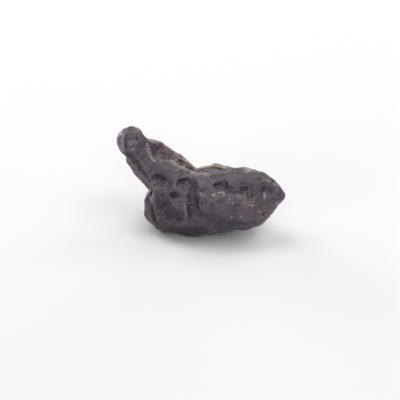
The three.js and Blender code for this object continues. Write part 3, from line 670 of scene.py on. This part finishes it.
def dimples(skin, near, count, smallest, largest, depth, on_front, seed):
    """How far strewn pits lift the skin: below 0 in a pit, a little above 0 on its rim."""
    dice = random.Random(seed)
    lift = np.zeros(skin.count)
    for _ in range(count):
        centre = dice.randrange(skin.count)
        reach = smallest + (largest - smallest) * dice.random() ** 2
        deep = depth * reach * dice.uniform(SHALLOWER, DEEPER)
        kept = dice.random() < on_front or skin.out[centre] @ np.array(towards_camera) < FRONT_FROM
        if not kept:
            continue
        for _, n, away in near.find_range(skin.points[centre], reach * RIM_END):
            if skin.out[n] @ skin.out[centre] > SAME_FACE:
                r = away / (reach * skin.wobble[n])
                hollow = -deep * max(0.0, 1 - r * r) ** 2
                rim = RIM_HEIGHT * deep * math.exp(-(((r - RIM_PLACE) / RIM_WIDTH) ** 2))
                lift[n] = min(lift[n], hollow) if r < 1 else max(lift[n], rim)
    return lift


def ease_outline(skin):
    """Brings the outline in the picture to where it is seen, finer than the solid's facets can."""
    across = np.array(camera_turn @ Vector((1, 0, 0)))
    up = np.array(camera_turn @ Vector((0, 1, 0)))
    moves = []
    for _, pixels, reach, (right, rise) in EASED:
        path, _ = trace_front(skin, pixels)
        moves.append(stroke(skin, path, [], reach, bowl, 0)[:, None] * (right * across + rise * up))
    skin.points += sum(moves)
    skin.write()
    skin.read()


def work_relief(skin):
    """Lifts and sinks the skin by all of its small relief."""
    for share, size, seed in WOBBLE:
        skin.wobble += share * skin.noise(size, seed)
    lift = np.zeros(skin.count)
    for _, profile, pixels, reach, height in FRONT:
        path, outs = trace_front(skin, pixels, DROP * reach if height < 0 else 0)
        lift += height * stroke(skin, path, outs, reach, profile, RELIEF_TAPER)
    for side, _, profile, places, reach, height in AROUND:
        path, outs = trace_side(skin, side, places)
        lift += height * stroke(skin, path, outs, reach, profile, RELIEF_TAPER)
    rough = zone(skin, "rough")
    for everywhere, where_rough, size, seed in LUMPS:
        lift += (everywhere + where_rough * rough) * skin.noise(size, seed)
    near = tree_of(skin.points)
    for _, *sizes in STREWN:
        lift += dimples(skin, near, *sizes)
    skin.points += skin.out * lift[:, None]
    skin.points[:, 2] = np.maximum(skin.points[:, 2], 0)
    skin.write()
    skin.read()


PROUD = 0.12  # millimetres above or below its surroundings at which a point is wholly rim or hollow
SURROUNDINGS = 30  # rounds of evening that give the surroundings
SLOPE = 12  # rounds of evening that give the slope, without the small relief
TOP_LIGHT_FROM, TOP_LIGHT_FULL = 0.25, 0.75  # the upward part of the way out at which painted top light begins, and is full
TOP_LIGHT_MOST = 0.7  # how much grey bloom is painted on skin that faces up, as top light


def mark(skin, name, values):
    """Keeps a value of each point of the skin for its material."""
    skin.mesh.attributes.new(name, "FLOAT", "POINT").data.foreach_set("value", values.astype(np.float32))


def mark_zones(skin):
    """Keeps where the skin has bloom and painted top light, clean glass and painted shade, scuffs and
    painted highlights, soil and crust that are partly painted light, and where it is a hollow or a rim.
    """
    for kind in ("clean_and_painted_shade", "worn_and_painted_highlight", "soil", "crust_and_painted_light"):
        mark(skin, kind, zone(skin, kind))
    # Painted top light: skin that faces up gets the grey bloom, so its colour is lighter as if lit from
    # above.
    painted_top_light = np.clip((skin.even(skin.out[:, 2], SLOPE) - TOP_LIGHT_FROM) / (TOP_LIGHT_FULL - TOP_LIGHT_FROM), 0, 1)
    mark(skin, "dust_and_painted_top_light", np.maximum(zone(skin, "dust_and_painted_top_light"), TOP_LIGHT_MOST * painted_top_light))
    # Painted shade and sheen: points below their surroundings are marked as hollows to be darkened, points
    # above as rims to be paled.
    proud = ((skin.points - skin.even(skin.points, SURROUNDINGS)) * skin.out).sum(1)
    mark(skin, "hollow", np.clip(-proud / PROUD, 0, 1))
    mark(skin, "rim", np.clip(proud / PROUD, 0, 1))


skin = fine_skin(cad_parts["tektite"])
ease_outline(skin)
work_relief(skin)
mark_zones(skin)
skin.mesh.transform(Matrix.Scale(MM, 4))
skin.mesh.shade_smooth()
skin.mesh.name = "tektite_skin"
stone = bpy.data.objects.new("tektite_skin", skin.mesh)
bpy.context.scene.collection.objects.link(stone)


# ---- Materials ----


class Nodes:
    """Adds nodes to a material and wires them."""

    def __init__(self, material):
        material.use_nodes = True
        self.tree = material.node_tree
        self.shader = self.tree.nodes["Principled BSDF"]
        self.place = self.tree.nodes.new("ShaderNodeTexCoord").outputs["Object"]

    def wire(self, socket, value):
        """Feeds the socket from another node, or sets it."""
        if isinstance(value, bpy.types.NodeSocket):
            self.tree.links.new(value, socket)
        else:
            socket.default_value = value

    def kept(self, name):
        """A value that was kept for each point of the skin."""
        node = self.tree.nodes.new("ShaderNodeAttribute")
        node.attribute_name = name
        return node.outputs["Fac"]

    def noise(self, size, detail, warp=0.0):
        """Noise from 0 to 1 with lumps of about that many millimetres."""
        node = self.tree.nodes.new("ShaderNodeTexNoise")
        self.wire(node.inputs["Vector"], self.place)
        node.inputs["Scale"].default_value = 1 / (size * MM)
        node.inputs["Detail"].default_value = detail
        node.inputs["Distortion"].default_value = warp
        return node.outputs["Fac"]

    def spots(self, size):
        """The distance to the nearest of many scattered points, over their spacing in millimetres."""
        node = self.tree.nodes.new("ShaderNodeTexVoronoi")
        self.wire(node.inputs["Vector"], self.place)
        node.inputs["Scale"].default_value = 1 / (size * MM)
        return node.outputs["Distance"]

    def ramp(self, value, low, high, start=0.0, end=1.0):
        """The value, spread so that low gives start and high gives end."""
        node = self.tree.nodes.new("ShaderNodeMapRange")
        node.interpolation_type = "SMOOTHSTEP"
        for socket, given in zip(node.inputs, (value, low, high, start, end)):
            self.wire(socket, given)
        return node.outputs["Result"]

    def times(self, a, b):
        return self.math("MULTIPLY", a, b)

    def math(self, operation, a, b):
        node = self.tree.nodes.new("ShaderNodeMath")
        node.operation = operation
        self.wire(node.inputs[0], a)
        self.wire(node.inputs[1], b)
        return node.outputs[0]

    def blend(self, share, under, over):
        """The colour over, laid on the colour under as far as share says."""
        node = self.tree.nodes.new("ShaderNodeMix")
        node.data_type = "RGBA"
        self.wire(node.inputs["Factor"], share)
        for socket, colour in (("A", under), ("B", over)):
            spot = next(i for i in node.inputs if i.name == socket and i.type == "RGBA")
            self.wire(spot, colour if isinstance(colour, bpy.types.NodeSocket) else (*colour, 1))
        return next(o for o in node.outputs if o.type == "RGBA")

    def bump(self, height, depth, under=None):
        """Fine relief of that many millimetres, over the relief under it."""
        node = self.tree.nodes.new("ShaderNodeBump")
        node.inputs["Strength"].default_value = 1.0
        node.inputs["Distance"].default_value = depth * MM
        self.wire(node.inputs["Height"], height)
        if under:
            self.wire(node.inputs["Normal"], under)
        return node.outputs["Normal"]


# Colours, as linear shares of red, green and blue.
DARK_GLASS = (0.049, 0.036, 0.054)
GREY_GLASS = (0.088, 0.066, 0.090)
BLUE_GLASS = (0.043, 0.048, 0.064)
# grey bloom of weathered glass, also painted as top light on skin that faces up
BLOOM_AND_TOP_LIGHT = (0.146, 0.113, 0.134)
FLECK = (0.18, 0.145, 0.16)
SPECK = (0.026, 0.018, 0.026)
# painted shade, darkening hollows
PAINTED_HOLLOW_SHADE = (0.026, 0.017, 0.024)
# rims paler from wear and from a painted sheen
RIM_WEAR_AND_SHEEN = (0.17, 0.14, 0.15)
# clean glass without bloom, also used as painted shade
CLEAN_GLASS_AND_PAINTED_SHADE = (0.020, 0.012, 0.022)
# pale scuffs and painted highlights
WORN_AND_HIGHLIGHT_GLASS = (0.44, 0.36, 0.39)
SOIL_FILM = (0.170, 0.106, 0.098)
DARK_EARTH = (0.170, 0.100, 0.093)
LIGHT_EARTH = (0.280, 0.196, 0.184)
DRY_EARTH = (0.33, 0.258, 0.242)
# cream crust, also painted light on the shaded far wall
CRUST_FILM_AND_PAINTED_LIGHT = (0.21, 0.172, 0.155)
CRUST_AND_PAINTED_LIGHT = (0.47, 0.39, 0.35)


def glass_colour(n, mottle):
    """Dark glass in patches, with flecks and specks, a grey bloom that is also painted top light, painted
    shade in hollows, rims paled by wear and a painted sheen, and clean glass laid as painted shade.
    """
    patches = n.ramp(n.noise(3.5, 3, 0.6), 0.4, 0.62)
    blue = n.ramp(n.noise(5.0, 2, 1.0), 0.52, 0.66)
    flecks = n.ramp(n.noise(0.3, 2), 0.58, 0.7)
    specks = n.ramp(n.noise(0.5, 3), 0.36, 0.46, 1, 0)
    layers = [
        # share, colour, from the lowest up
        (n.times(blue, 0.6), BLUE_GLASS),
        # grey bloom, with painted top light where the skin faces up
        (n.times(n.kept("dust_and_painted_top_light"), n.ramp(mottle, 0, 1, 0.4, 1)), BLOOM_AND_TOP_LIGHT),
        (n.times(flecks, 0.4), FLECK),
        (n.times(specks, 0.35), SPECK),
        # painted shade in hollows
        (n.times(n.kept("hollow"), 0.5), PAINTED_HOLLOW_SHADE),
        # rims paler from wear and a painted sheen
        (n.times(n.kept("rim"), 0.25), RIM_WEAR_AND_SHEEN),
        # clean glass, also painted shade on hollows and undersides
        (n.kept("clean_and_painted_shade"), CLEAN_GLASS_AND_PAINTED_SHADE),
    ]
    colour = n.blend(patches, DARK_GLASS, GREY_GLASS)
    for share, over in layers:
        colour = n.blend(share, colour, over)
    return colour


def with_soil(n, mottle, colour):
    """The colour under brown crumbs and a cream crust, each on a thin film of its own; on the fold and peak
    of the far wall they also stand as painted light where shade falls.
    """
    soil, crust_and_painted_light = n.kept("soil"), n.kept("crust_and_painted_light")
    colour = n.blend(n.times(soil, 0.75), colour, SOIL_FILM)
    colour = n.blend(n.times(crust_and_painted_light, 0.55), colour, CRUST_FILM_AND_PAINTED_LIGHT)
    crumbs = n.noise(0.45, 4)
    edge = n.math("SUBTRACT", 0.7, n.times(soil, 0.6))
    soiled = n.ramp(crumbs, edge, n.math("ADD", edge, 0.26))
    earth = n.blend(n.ramp(crumbs, 0.4, 0.7), DARK_EARTH, LIGHT_EARTH)
    earth = n.blend(n.ramp(n.noise(2.4, 2), 0.5, 0.62), earth, DRY_EARTH)
    colour = n.blend(n.times(soiled, n.ramp(soil, 0, 0.2)), colour, earth)
    edge = n.math("SUBTRACT", 0.7, n.times(crust_and_painted_light, 0.9))
    crust_and_light_cover = n.ramp(n.noise(0.6, 5), edge, n.math("ADD", edge, 0.4))
    return n.blend(n.times(crust_and_light_cover, n.ramp(mottle, 0, 1, 0.5, 0.95)), colour, CRUST_AND_PAINTED_LIGHT)


def with_wear_and_glints(n, mottle, colour):
    """The pale colour of scuffs and painted highlights, most of all on its rims."""
    wear_and_glint = n.times(n.kept("worn_and_painted_highlight"), n.ramp(n.kept("rim"), 0, 0.6, 0.55, 1))
    return n.blend(n.times(wear_and_glint, n.ramp(mottle, 0, 1, 0.6, 1)), colour, WORN_AND_HIGHLIGHT_GLASS)


def roughness(n):
    """Satin in patches, duller under bloom, painted top light, soil and crust, and a little glossier where
    clean glass lies as painted shade.
    """
    dull = n.math("MAXIMUM", n.kept("dust_and_painted_top_light"), n.math("MAXIMUM", n.kept("soil"), n.kept("crust_and_painted_light")))
    satin = n.ramp(n.noise(1.6, 4, 0.4), 0.35, 0.65, 0.26, 0.46)
    satin = n.math("ADD", satin, n.times(dull, 0.12))
    return n.math("SUBTRACT", satin, n.times(n.kept("clean_and_painted_shade"), 0.06))


def glass_skin():
    material = bpy.data.materials.new("tektite_glass")
    n = Nodes(material)
    mottle = n.ramp(n.noise(0.7, 4), 0.36, 0.66)
    colour = with_wear_and_glints(n, mottle, with_soil(n, mottle, glass_colour(n, mottle)))
    n.wire(n.shader.inputs["Base Color"], colour)
    n.wire(n.shader.inputs["Roughness"], roughness(n))
    grain = n.bump(n.noise(0.22, 3), 0.05)
    pitting = n.bump(n.ramp(n.spots(0.45), 0.05, 0.35), 0.03, grain)
    n.wire(n.shader.inputs["Normal"], pitting)
    return material


stone.data.materials.clear()
stone.data.materials.append(glass_skin())

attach(stone, "root")
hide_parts("tektite")

# ---- Studio ----

FLOOR_SIZE = 2.0  # metres
PAPER = (0.9, 0.89, 0.895, 1)
PAPER_ROUGHNESS = 0.9
FILL = 0.02  # strength of the light from all round
WHITE = (1, 1, 1, 1)


def floor():
    mesh = bpy.data.meshes.new("floor")
    half = FLOOR_SIZE / 2
    corners = [(-half, -half, 0), (half, -half, 0), (half, half, 0), (-half, half, 0)]
    mesh.from_pydata(corners, [], [(0, 1, 2, 3)])
    plane = bpy.data.objects.new("floor", mesh)
    bpy.context.scene.collection.objects.link(plane)
    paper = bpy.data.materials.new("paper")
    paper.use_nodes = True
    shader = paper.node_tree.nodes["Principled BSDF"]
    shader.inputs["Base Color"].default_value = PAPER
    shader.inputs["Roughness"].default_value = PAPER_ROUGHNESS
    mesh.materials.append(paper)


floor()

world = bpy.data.worlds.new("studio")
bpy.context.scene.world = world
world.use_nodes = True
world.node_tree.nodes["Background"].inputs["Color"].default_value = WHITE
world.node_tree.nodes["Background"].inputs["Strength"].default_value = FILL

BOX_AWAY = 0.45  # metres from the stone to each softbox
BOX_SIZE = 0.22  # metres
SOFTBOXES = [
    # name, degrees round from the camera towards the right, degrees up, watts
    ("high_back_left", 225, 70, 0.55),
    ("low_back_left", 225, 12, 0.9),
    ("left", 250, 42, 0.32),
    ("front_left", 315, 12, 0.37),
    ("front", 0, 35, 0.44),
    ("front_right", 45, 60, 0.42),
    ("right", 90, 60, 0.32),
    ("back_right", 135, 42, 0.44),
    ("low_back", 160, 12, 0.5),
]


def softbox(name, turn, up, watts):
    """A square light that faces the stone."""
    light = bpy.data.lights.new(name, "AREA")
    light.shape = "SQUARE"
    light.size = BOX_SIZE
    light.energy = watts
    box = bpy.data.objects.new(name, light)
    turn, up = math.radians(turn), math.radians(up)
    away = Vector((math.sin(turn) * math.cos(up), -math.cos(turn) * math.cos(up), math.sin(up)))
    box.location = away * BOX_AWAY
    box.rotation_mode = "QUATERNION"
    box.rotation_quaternion = (-away).to_track_quat("-Z", "Y")
    bpy.context.scene.collection.objects.link(box)


for box in SOFTBOXES:
    softbox(*box)

camera = bpy.data.cameras.new("camera")
camera.lens = LENS
camera.sensor_width = SENSOR
camera.clip_start = 0.01
eye = bpy.data.objects.new("camera", camera)
eye.location = camera_place * MM
eye.rotation_mode = "QUATERNION"
eye.rotation_quaternion = camera_turn
bpy.context.scene.collection.objects.link(eye)
bpy.context.scene.camera = eye
bpy.context.scene.view_settings.view_transform = "Standard"
